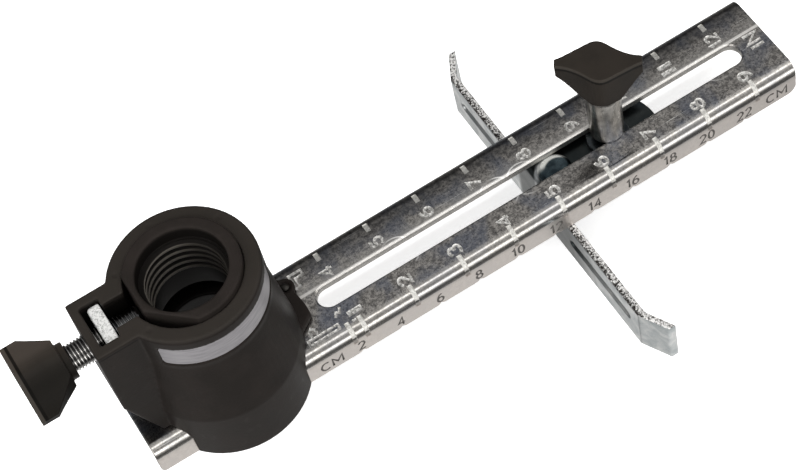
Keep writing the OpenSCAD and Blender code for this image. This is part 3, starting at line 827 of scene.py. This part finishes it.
def flange_figures():
    """Cutters for the centimetre scale on the near flange."""
    along, row = (1, 0, 0), -6.2
    tools = []
    for cm in centimetres:
        place = (centimetre_zero + centimetre_step * cm, beam_near, row)
        tools += set_down(lettering(str(cm), 2.9, 0.25, 0.18, 0.9), place, along, UP)
    for x in (19.9, 136.1):
        tools += set_down(lettering("CM", 2.7, 0.25, 0.18, 1.25), (x, beam_near, row), along, UP)
    return tools


def beam_piece():
    """The channel, with its soft ends, round corners, slot and hole, and then its stamped scales."""
    soft = 0.25
    steps = [(0, soft), (0.3 * soft, 0.45 * soft), (0.65 * soft, 0.12 * soft), (soft, 0)]
    rows = [[(beam_low.x + x, y, z) for y, z in channel_section(inset)] for x, inset in steps]
    rows += [[(beam_high.x - x, y, z) for y, z in channel_section(inset)]
             for x, inset in reversed(steps)]
    beam = wears(skinned("beam_channel", rows), zinc)

    cut(beam, wears(end_corner(beam_high.x, 1, 3), sheared))
    cut(beam, wears(end_corner(beam_low.x, -1, 1.8), sheared))
    slot = rim_rows(slot_outline, -sheet, 0, slot_under_rim, slot_top_rim)
    cut(beam, wears(skinned("slot", slot), slot_wall))
    hole = rim_rows(lambda z, grow: ring(cutter_hole + grow, z, 96), -sheet, 0, hole_rim, hole_rim)
    cut(beam, wears(skinned("hole", hole), slot_wall))

    cut(beam, wears(joined("notches", [flange_notch(cm) for cm in centimetres]), zinc))
    # the side, reach, turn and run of a mark
    near_mark, far_mark = (-1, 3.2, 90, 1.4), (1, 4.3, 20)
    marks = [edge_groove(x, *mark) for mark in (near_mark, far_mark) for x in inch_marks]
    marks.append(edge_groove(extra_near_mark, *near_mark))
    cut(beam, wears(joined("marks", marks), groove))
    cut(beam, wears(joined("figures", top_figures()), figure), use_self=True)
    cut(beam, wears(joined("scale", flange_figures()), stamp), use_self=True)

    # the slot's rolled rim and the feet of the near marks are plated like the rest
    for face in beam.data.polygons:
        finish = beam.material_slots[face.material_index].material
        rolled = finish == slot_wall.material and abs(face.normal.z) > 0.25
        if rolled or finish == groove.material and face.center.z < -2.2 * MM:
            face.material_index = 0
    shaded(beam)
    return placed(beam, "guide", "zinc_sheet", "beam")


def rivets_piece():
    """Two small rivets whose domed heads sit in the wells of the lugs."""
    head, shank, low, top = 1.05, 0.7, rivet_low.z, rivet_high.z
    aside, across = 19.7, 6.6
    profile = [(0.02, low), (head - 0.15, low), (head, low + 0.12), (head, -sheet),
               (shank, -sheet + 0.01), (shank, well_floor - 0.01), (head, well_floor),
               (head, well_floor + 0.12)]
    dome = top - well_floor - 0.12
    profile += [(head * math.cos(a), well_floor + 0.12 + dome * math.sin(a))
                for a in (math.radians(d) for d in range(8, 88, 8))]
    profile.append((0.02, top))
    rivets = [turned("rivet", profile, (side * aside, across), 48) for side in (-1, 1)]
    rivets = shaded(wears(joined("rivet_pair", rivets), oxide))
    return placed(rivets, "guide", "dark_steel", "beam_rivets")


# Pieces of the cup

def cup_piece():
    """The moulded cup, with four shallow dimples in the top of its wall."""
    out, dimple = 14.1, [(0.5, cup_top - 0.22), (0.7, cup_top - 0.14), (0.85, cup_top + 1)]
    dimples = [turned("dimple", dimple, (out * math.cos(a), out * math.sin(a)), 24)
               for a in (math.radians(d) for d in (31, 92, 146, 213))]
    cup = softened_copy("cup_housing", "housing", 0.28, 5, dimples)
    wears(cup, cup_plastic)
    return placed(cup, "guide", "black_plastic", "housing")


def label_piece():
    """A thin band wrapped round the cup, its corners rounded."""
    middle, span = math.radians(-80), math.radians(120)
    inner, thick, corner = 15.8, 0.2, 0.9
    outer = inner + thick
    half = span / 2 * outer
    across, up = 120, 12
    low, high = label_low.z + 0.05, label_high.z - 0.05
    rows = []
    for i in range(across + 1):
        along = half * (2 * i / across - 1)
        past = max(0, abs(along) - (half - corner))
        drawn = corner - math.sqrt(max(0, corner * corner - past * past))
        angle = middle + along / outer
        foot, head, rise = low + drawn, high - drawn, high - low - 2 * drawn - 0.12
        loop = [(inner, foot), (outer - 0.05, foot), (outer, foot + 0.06)]
        loop += [(outer, foot + 0.06 + rise * k / up) for k in range(1, up)]
        loop += [(outer, head - 0.06), (outer - 0.05, head), (inner, head)]
        rows.append([(r * math.cos(angle), r * math.sin(angle), z) for r, z in loop])
    label = shaded(wears(skinned("label_band", rows), label_foil))
    return placed(label, "guide", "label_silver", "label_strip")


def collar_piece():
    """The threaded ring, with two flats outside and a helical thread in its bore."""
    top, low = collar_high.z, collar_low.z
    outer, counter, minor, depth, pitch = 12.5, 9.7, 8.5, 0.9, 2.1167
    ledge, lead = top - 3.6, 0.9
    flats = [(11.0, math.radians(180)), (10.6, math.radians(226))]
    thread_top, thread_low = ledge - lead, ledge - lead - 9.2

    def outside(radius):
        """The ring's outline at this radius, cut off by the flats."""
        def at(angle):
            reach = radius
            for flat, facing in flats:
                lean = math.cos(angle - facing)
                if lean > 0:
                    reach = min(reach, (flat - (outer - radius)) / lean)
            return reach
        return at

    def thread(z):
        """The bore's outline at a height, its thread running in from below and out at the ledge."""
        def at(angle):
            share = (z - thread_low) / pitch - angle / TURN
            run_in = smoothstep(thread_low - 1.2, thread_low, z)
            cut_r = minor + depth - depth * ridge(share) * run_in
            return max(cut_r, minor + (z - thread_top) / lead * (counter - minor))
        return at

    rows = [(outside(outer - 0.35), low), (outside(outer - 0.1), low + 0.1),
            (outside(outer), low + 0.35)]
    rows += [(outside(outer), top - 0.6), (outside(outer - 0.06), top - 0.34),
             (outside(outer - 0.24), top - 0.1), (outside(outer - 0.55), top)]
    rows += [(counter + 0.7, top), (counter + 0.35, top - 0.08), (counter + 0.1, top - 0.28),
             (counter, top - 0.6), (counter, ledge + 0.25), (counter - 0.05, ledge + 0.06),
             (counter - 0.25, ledge)]
    steps, start, past = 118, ledge - 0.02, 1.4
    for i in range(steps + 1):
        z = start - (start - thread_low + past) * i / steps
        rows.append((thread(z), z))
    rows += [(minor + depth, low + 0.4), (minor + depth + 0.4, low)]
    collar = skinned("threaded_ring", [ring(r, z, 200) for r, z in rows], looped=True)
    shaded(wears(collar, collar_plastic), 50)
    return placed(collar, "collar", "black_plastic_ring", "collar")


# Pieces of the clamp

def screw_rows(radius, depth, pitch, start, end, per_turn, tip=0.0, steps=64):
    """Rows of a threaded shaft along +Z, its tip bevelled."""
    rows = [ring(radius - tip - 0.25, start, steps)]
    count = round((end - start) / pitch * per_turn)
    for i in range(count + 1):
        z = start + 0.05 + (end - start - 0.05) * i / count

        def at(angle):
            cut_r = radius - depth * (1 - ridge(z / pitch - angle / TURN, 0.1, 0.42))
            return min(cut_r, radius - tip + (z - start))
        rows.append(ring(at, z, steps))
    return rows


def clamp_stud_piece():
    """The clamp's screw, threaded through the nut and plain where the knob grips it."""
    length, thread_end, shank = stud_high.x - stud_low.x, 17.6, 2.9
    rows = screw_rows(screw_radius, 0.38, screw_pitch, 0, thread_end, 10, tip=0.9)
    rows += [ring(shank, thread_end + 0.1, 64), ring(shank, length, 64)]
    stud = shaded(wears(skinned("clamp_screw_stud", rows), screw_steel), 50)
    towards_back(stud, stud_high.x, screw_z)
    return placed(stud, "clamp_screw", "screw_steel", "clamp_stud")


def nut_piece():
    """A square nut, its corners rounded and one face chamfered."""
    half, thick, bore = 5.0, nut_high.x - nut_low.x, 3.15
    steps = 128

    def square(limit, inset=0.0):
        """The nut's outline, drawn in by an inset, its corners cut off at a radius."""
        def at(angle):
            side = max(abs(math.cos(angle)), abs(math.sin(angle)))
            return min((half - inset) / side, limit)
        return at

    rows = [(square(6.7, 0.25), 0), (square(6.85, 0.07), 0.08), (square(6.95), 0.25),
            (square(6.95), thick - 0.7), (square(6.75), thick - 0.35),
            (square(6.5, 0.07), thick - 0.1), (square(6.2, 0.2), thick),
            (bore + 0.6, thick), (bore + 0.1, thick - 0.5)]
    for i in range(1, 15):
        z = thick - 0.5 - (thick - 1) * i / 15
        rows.append((lambda angle, z=z: bore + 0.3 * (1 - ridge(z / screw_pitch - angle / TURN)), z))
    rows += [(bore + 0.1, 0.5), (bore + 0.6, 0)]
    nut = skinned("square_nut", [ring(r, z, steps) for r, z in rows], looped=True)
    shaded(wears(nut, frosted), 40)
    towards_back(nut, nut_high.x, screw_z)
    return placed(nut, "guide", "bright_steel", "clamp_nut")


def wing_piece(name, node, body, finish):
    """One of the two wing knobs."""
    wing = softened_copy(name, node, 0.14, 5)
    wears(wing, finish)
    return placed(wing, body, "knob_plastic", node)


# Pieces of the carriage

def fence_piece():
    """The stamped fence, its bends eased and its sheared edges left rough.

    The edges are the top of its two arms, just under the beam, and its foot."""
    fence = softened_copy("fence_stamping", "fence_guide", 0.2, 4)
    wears(fence, stamping, sheared)
    mesh = fence.data
    top, low = beam_low.z - 0.05, fence_low.z
    for vertex in mesh.vertices:
        x, y, z = vertex.co / MM
        rough = noise.fractal(Vector((x * 2.2, y * 1.3, z * 2.2)), 0.6, 2.0, 3)
        on_top = smoothstep(top - 0.45, top - 0.1, z) if abs(y) > 8.6 and z < top + 0.1 else 0
        on_foot = 1 - smoothstep(low + 0.1, low + 0.35, z)
        vertex.co.z -= (abs(rough) * 0.16 * on_top) * MM
        vertex.co.z += (abs(rough) * 0.05 * on_foot) * MM
    for face in mesh.polygons:
        z = face.center.z / MM
        flat = abs(face.normal.z) > 0.75
        on_edge = (z > top - 0.5 and z < top + 0.1 and abs(face.center.y) / MM > 8.8) or z < low + 0.4
        face.material_index = 1 if flat and on_edge else 0
    return placed(fence, "carriage", "zinc_stamping", "fence_guide")


def washer_piece():
    """The ring between the fence's plate and the underside of the beam."""
    low, high, outer, bore, soft = washer_low.z, washer_high.z, 5.0, 2.55, 0.2
    profile = [(outer - soft, low), (outer, low + soft), (outer, high - soft), (outer - soft, high),
               (bore + soft, high), (bore, high - soft), (bore, low + soft), (bore + soft, low)]
    washer = turned("slide_ring", eased(profile, 0.1, 3, True), (post_x, 0), 96, looped=True)
    shaded(wears(washer, shaded_steel))
    return placed(washer, "carriage", "screw_steel", "slide_washer")


def guide_stud_piece():
    """The stud that holds the post, with a low domed head under the plate."""
    low, high, shank, head, tall = guide_low.z, guide_high.z, 2.45, 4.5, 1.6
    crown, pitch, steps = 0.5, 0.8, 64
    dome = [(head * math.sin(a), low + crown - crown * math.cos(a))
            for a in (math.radians(d) for d in range(2, 90, 8))]
    dome += [(head, low + tall - 0.15), (head - 0.15, low + tall)]
    rows = [ring(r, z, steps) for r, z in dome + [(shank, low + tall + 0.01), (shank, -0.1)]]
    rows += screw_rows(shank, 0.34, pitch, 0, high, 10, steps=steps)
    stud = skinned("guide_screw", rows)
    stud.data.transform(Matrix.Translation(Vector((post_x, 0, 0)) * MM))
    shaded(wears(stud, shaded_steel), 50)
    return placed(stud, "carriage", "screw_steel", "guide_stud")


def pin_piece():
    """The pivot pin, pointed below and riveted over above the plate."""
    tip, top, shank, tail, head = pin_low.z, pin_high.z, 1.5875, 1.2, 4.0
    under, plate = -5.45, -3.65
    corners = [(0.02, tip), (0.56, tip), (shank, tip + shank), (shank, under),
               (tail, under + 0.02), (tail, plate), (head - 0.2, plate + 0.01),
               (head, plate + 0.5), (head - 0.9, top), (0.02, top)]
    profile = eased(corners, [0, 0.2, 0.4, 0, 0, 0, 0.1, 0.4, 0.5, 0], 5)
    pin = shaded(wears(turned("centre_pin", profile, (pin_x, 0), 72), pin_steel), 40)
    return placed(pin, "carriage", "bright_steel", "pivot_pin")


def post_piece():
    """The turned post, with fine rings left by the lathe."""
    foot, top, height, stem, bore = 3.78, 4.0, 14.6, 3.2, 2.5
    section = [(foot - 0.25, 0.0), (foot - 0.07, 0.07), (foot, 0.25)]
    rings, depth = 60, 0.006
    section += [(foot + (top - foot) * i / rings + depth * math.sin(i * 2.1),
                 0.25 + (height - 0.6) * i / rings) for i in range(1, rings + 1)]
    section += [(top - 0.08, height - 0.1), (top - 0.3, height), (stem, height + 0.01),
                (stem, post_high.z), (bore, post_high.z), (bore, 0)]
    post = shaded(wears(turned("knob_post", section, (post_x, 0), 96, looped=True), turned_steel), 40)
    return placed(post, "lock_barrel", "post_steel", "lock_post")


beam_piece()
rivets_piece()
cup_piece()
label_piece()
collar_piece()
clamp_stud_piece()
nut_piece()
wing_piece("clamp_wing_knob", "clamp_knob", "clamp_wing", clamp_plastic)
fence_piece()
washer_piece()
guide_stud_piece()
pin_piece()
post_piece()
wing_piece("lock_wing_knob", "lock_knob", "lock_wing", lock_plastic)


# Floor, light and camera

def floor():
    """A level floor under the whole guide, seen by the camera alone."""
    half, level = 2600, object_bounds()[0].z / MM
    corners = [(-half, -half, level), (half, -half, level), (half, half, level), (-half, half, level)]
    obj = wears(piece("floor", corners, [(0, 1, 2, 3)]), floor_paint())
    obj.visible_glossy = obj.visible_diffuse = False
    obj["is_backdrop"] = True


def soft_light(name, place, target, width, height, watts):
    """A rectangular lamp that faces a point, unseen in reflections."""
    lamp = bpy.data.lights.new(name, "AREA")
    lamp.shape, lamp.size, lamp.size_y = "RECTANGLE", width * MM, height * MM
    lamp.energy = watts
    obj = bpy.data.objects.new(name, lamp)
    obj.location = Vector(place) * MM
    obj.rotation_euler = (Vector(target) - Vector(place)).to_track_quat("-Z", "Y").to_euler()
    obj.visible_glossy = False
    bpy.context.scene.collection.objects.link(obj)


def sky():
    """A studio room: a dark wall behind the guide, lamps over and before it and one below."""
    world = bpy.data.worlds.new("studio")
    bpy.context.scene.world = world
    room = Nodes(world)
    way = room.node("ShaderNodeTexCoord", out="Generated")
    height = way.part("Z") * 0.5 + 0.5

    def levels(*stops):
        """Light from each height: pairs of a direction's rise, from -1 to 1, and its level."""
        ramp = room.node("ShaderNodeValToRGB", {}, {0: height})
        band = ramp.socket.node.color_ramp.elements
        for _ in stops[2:]:
            band.new(0.5)
        for stop, (rise, level) in zip(band, stops):
            stop.position = (rise + 1) / 2
            stop.color = (level / 3, level * 0.985 / 3, level * 0.965 / 3, 1)
        return ramp

    front = levels((-1, 1.15), (-0.84, 1.15), (-0.79, 0.34), (-0.74, 0.1), (-0.42, 0.12),
                   (-0.22, 0.5), (-0.02, 1.9), (0.12, 2.4), (0.22, 1.4), (0.34, 0.36),
                   (0.5, 0.3), (0.76, 0.5), (0.8, 1.05), (0.84, 2), (0.87, 2), (0.91, 1.05),
                   (0.945, 0.5), (0.975, 0.4), (1, 0.4))
    wall = levels((-1, 1), (-0.8, 1), (-0.7, 0.5), (-0.3, 0.3), (0, 0.12), (0.3, 0.08),
                  (0.6, 0.12), (0.84, 0.29), (1, 0.34))
    # the wall is darkest past the cup's end of the beam
    behind = room.mix(way.part("X").between(-0.45, -0.25), (0.05, 0.05, 0.05, 1), wall)
    back = room.tree.nodes["Background"]
    room.feed(back.inputs["Color"], room.mix(way.part("Y").between(-0.05, 0.25), front, behind))
    back.inputs["Strength"].default_value = 3.0


def camera():
    """The photograph's viewpoint, as fitted to the beam's marks and edges."""
    lens = bpy.data.cameras.new("camera")
    lens.lens, lens.sensor_width = 104.555, 36
    lens.clip_start, lens.clip_end = 0.01, 20
    obj = bpy.data.objects.new("camera", lens)
    obj.location = Vector((-33.748, -258.048, 425.936)) * MM
    obj.rotation_euler = [math.radians(a) for a in (31.66788749, 8.72109763, -30.96433355)]
    bpy.context.scene.collection.objects.link(obj)
    bpy.context.scene.camera = obj


floor()
soft_light("front_light", (60, -700, 520), (60, 0, 0), 1100, 420, 3.5)
soft_light("left_light", (-620, -160, 420), (0, 0, 10), 380, 380, 3)
soft_light("top_light", (60, -40, 900), (60, 0, 0), 1100, 120, 6)
sky()
camera()
bpy.context.scene.view_settings.view_transform = "Standard"
